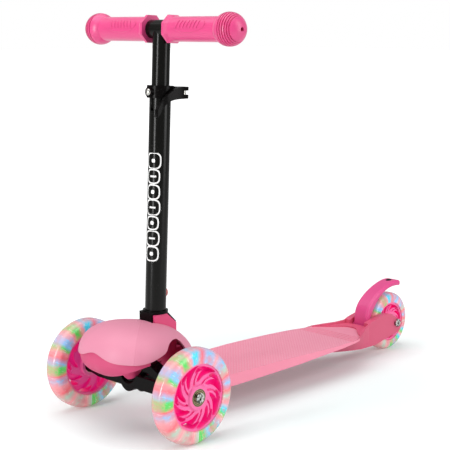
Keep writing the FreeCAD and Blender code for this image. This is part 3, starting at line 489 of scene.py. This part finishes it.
def printed_beads(tree, place):
    """A chain of outlined beads down the front of the lower tube, with a dot or a bar in each: 1 where printed."""
    axis = Vector(joints["height_slide"]["axis"])
    x, y, z = split_xyz(tree, moved(tree, place, middle("lower_tube"), (-math.atan2(axis.y, axis.z), 0.0, 0.0)))
    low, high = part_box("lower_tube")
    radius = (high[0] - low[0]) / 2
    round_tube = plus(tree, maths(tree, "ARCTAN2", x, times(tree, y, -1.0)), -BEAD_AROUND)
    across = unsigned(tree, times(tree, round_tube, radius))
    count = maths(tree, "DIVIDE", plus(tree, z, BEADS_FROM), BEAD_PITCH)
    number = maths(tree, "FLOOR", count)
    along = unsigned(tree, times(tree, maths(tree, "SUBTRACT", maths(tree, "FRACT", count), 0.5), BEAD_PITCH))
    in_chain = times(tree, maths(tree, "GREATER_THAN", count, 0.0),
                     maths(tree, "LESS_THAN", count, float(BEAD_COUNT)))

    half = plus(tree, times(tree, maths(tree, "SINE", times(tree, number, 2.4)), BEAD_VARIES), BEAD_HALF)
    cubes = [maths(tree, "POWER", side, 3.0) for side in (across, along)]
    out = maths(tree, "POWER", plus(tree, *cubes), 1.0 / 3.0)       # a soft square, between a circle and a box
    outline = maths(tree, "LESS_THAN", unsigned(tree, maths(tree, "SUBTRACT", out, half)), BEAD_LINE)
    dot = maths(tree, "LESS_THAN", out, DOT_RADIUS)
    bar = times(tree, maths(tree, "LESS_THAN", across, BAR_HALF_LENGTH),
                maths(tree, "LESS_THAN", along, BAR_HALF_WIDTH))
    odd = maths(tree, "GREATER_THAN", maths(tree, "FRACT", times(tree, number, 0.5)), 0.25)
    inside = plus(tree, times(tree, dot, maths(tree, "SUBTRACT", 1.0, odd)), times(tree, bar, odd))
    return times(tree, maths(tree, "MAXIMUM", outline, inside), in_chain)


# ---------------------------------------------------------------- which finish each node has
def dress(material, *names):
    for name in names:
        slots = nodes[name].data.materials
        slots.clear()
        slots.append(material)


def dress_pink_parts():
    dress(plastic("cover_plastic", (0.705, 0.250, 0.360), (0.65, 0.213, 0.322), roughness=0.55, coat=0.06,
                  crease=cover_crease), "front_cover")
    dress(plastic("trim_plastic", (0.61, 0.054, 0.168), (0.56, 0.043, 0.148), coat=0.08), "front_trim")
    dress(plastic("head_plastic", (0.76, 0.058, 0.200), (0.69, 0.045, 0.17)), "front_housing")
    dress(plastic("frame_plastic", (0.70, 0.092, 0.190), (0.63, 0.072, 0.17)), "under_frame", "brake_pin")
    dress(plastic("brake_plastic", (0.76, 0.066, 0.262), (0.68, 0.045, 0.225), roughness=0.40, coat=0.20),
          "brake_fender")
    dress(plastic("grip_plastic", (0.76, 0.058, 0.232), (0.70, 0.045, 0.205), roughness=0.36, coat=0.25, grain=900.0,
                  depth=0.00010, strength=0.35, sheen=0.35), "left_grip", "right_grip")
    dress(plastic("button_plastic", (0.48, 0.060, 0.045), (0.38, 0.04, 0.03), roughness=0.35, coat=0.3),
          "fold_release_button")
    dress(deck_plastic(), "deck_board")


def dress_black_parts():
    paint = {"colour": (0.0022, 0.0021, 0.0016), "roughness": 0.22, "specular": 0.20}
    dress(black("stem_paint", **paint), "upper_tube", "crossbar")
    dress(black("printed_stem_paint", **paint, marks=printed_beads), "lower_tube")
    dress(black("black_plastic", (0.0018, 0.0013, 0.0013), 0.28, 0.08, grain=1500.0, strength=0.3),
          "stem_root", "clamp_collar", "clamp_lever", "clamp_seat", "tube_bushing", "tube_end_plug", "lower_beam",
          "left_brace", "right_brace")
    dress(black("black_rubber", (0.008, 0.008, 0.008), 0.7, 0.2, grain=900.0, strength=0.4),
          "kingpin_bush", "brake_pad", "brake_rivet")


def dress_steel_parts():
    dress(steel("plated_steel", (0.66, 0.65, 0.61)), "kingpin_bolt", "fold_pin", "rear_axle_nut", "rear_axle_spacers",
          "left_axle_washer", "right_axle_washer", "brace_screws", "clamp_skewer", "clamp_nut", "clamp_barrel",
          "height_button", *(wheel + "_spacer" for wheel in WHEELS))
    dress(steel("bolt_steel", (0.80, 0.79, 0.76), 0.22, hollow_shade=0.9), "left_axle_bolt", "right_axle_bolt",
          "rear_axle_bolt")


def dress_wheels():
    for wheel in WHEELS:
        dress(tyre_clear(wheel + "_clear", wheel), wheel + "_tyre")
        dress(hub_plastic(wheel + "_pink", wheel), wheel + "_hub")
        dress(steel(wheel + "_bearing", (0.50, 0.41, 0.24), 0.24, centre=middle(wheel + "_hub")), wheel + "_bearings")
    dress(lamp_clear(), *(wheel + "_lamps" for wheel in WHEELS))


# ---------------------------------------------------------------- floor, light, camera
def make_floor():
    """A pale floor that grows lighter outward, until it meets the white of the room."""
    bpy.ops.object.select_all(action="DESELECT")
    bpy.ops.mesh.primitive_plane_add(size=FLOOR_SIZE, location=(0.0, 0.0, cad_low[2] - FLOOR_GAP))
    floor = bpy.context.object
    floor.name = "studio_floor"
    material, tree, shader, place = start_material("studio_white", 0.8, specular=0.1)
    away = tree.nodes.new("ShaderNodeVectorMath")
    away.operation = "LENGTH"
    join(tree, place, away.inputs[0])
    # Near the scooter the floor is tinted blue-green against the pink light bounced onto it: painted light.
    bounce_tint = ramp(tree, away.outputs["Value"], [(0.15, (0.79, 0.865, 0.858)), (0.7, (0.85, 0.86, 0.86))])
    mottled = blend_colour(tree, times(tree, noise(tree, place, 2.0), 0.04), bounce_tint, (0.7, 0.7, 0.7))
    join(tree, mottled, shader.inputs["Base Color"])
    glow = ramp(tree, maths(tree, "DIVIDE", away.outputs["Value"], WHITE_FROM),
                [(0.04, 0.10), (0.12, 0.30), (0.35, 0.55), (1.0, 1.0)], "EASE")
    seen = tree.nodes.new("ShaderNodeLightPath").outputs["Is Camera Ray"]
    join(tree, blend_colour(tree, seen, (0.0, 0.0, 0.0), glow), shader.inputs["Emission Color"])
    shader.inputs["Emission Strength"].default_value = 1.0
    floor.data.materials.append(material)


def make_lights():
    """Soft light from above, a tall box to each side of the camera, and a white room behind."""
    scene = bpy.context.scene
    scene.world = bpy.data.worlds.new("white_room")
    scene.world.use_nodes = True
    tree = scene.world.node_tree
    behind = tree.nodes["Background"]
    behind.inputs["Strength"].default_value = 1.0
    seen = tree.nodes.new("ShaderNodeLightPath").outputs["Is Camera Ray"]
    join(tree, blend_colour(tree, seen, (ROOM_LIGHT,) * 3, (1.0, 1.0, 1.0)), behind.inputs["Color"])
    for name, (place, aim, width, height, watts) in SOFTBOXES.items():
        data = bpy.data.lights.new(name, "AREA")
        data.shape, data.size, data.size_y, data.energy = "RECTANGLE", width, height, watts
        softbox = bpy.data.objects.new(name, data)
        softbox.location = place
        softbox.rotation_euler = (Vector(aim) - Vector(place)).to_track_quat("-Z", "Y").to_euler()
        scene.collection.objects.link(softbox)
    scene.view_settings.view_transform = "Standard"


def make_camera():
    data = bpy.data.cameras.new("studio_camera")
    data.sensor_width = SENSOR_WIDTH
    data.lens = CAMERA_LENS
    camera = bpy.data.objects.new("studio_camera", data)
    camera.location = CAMERA_PLACE
    camera.rotation_euler = (math.radians(90.0 - CAMERA_DOWN), 0.0, math.radians(CAMERA_ROUND))
    bpy.context.scene.collection.objects.link(camera)
    bpy.context.scene.camera = camera


dress_pink_parts()
dress_black_parts()
dress_steel_parts()
dress_wheels()
make_floor()
make_lights()
make_camera()
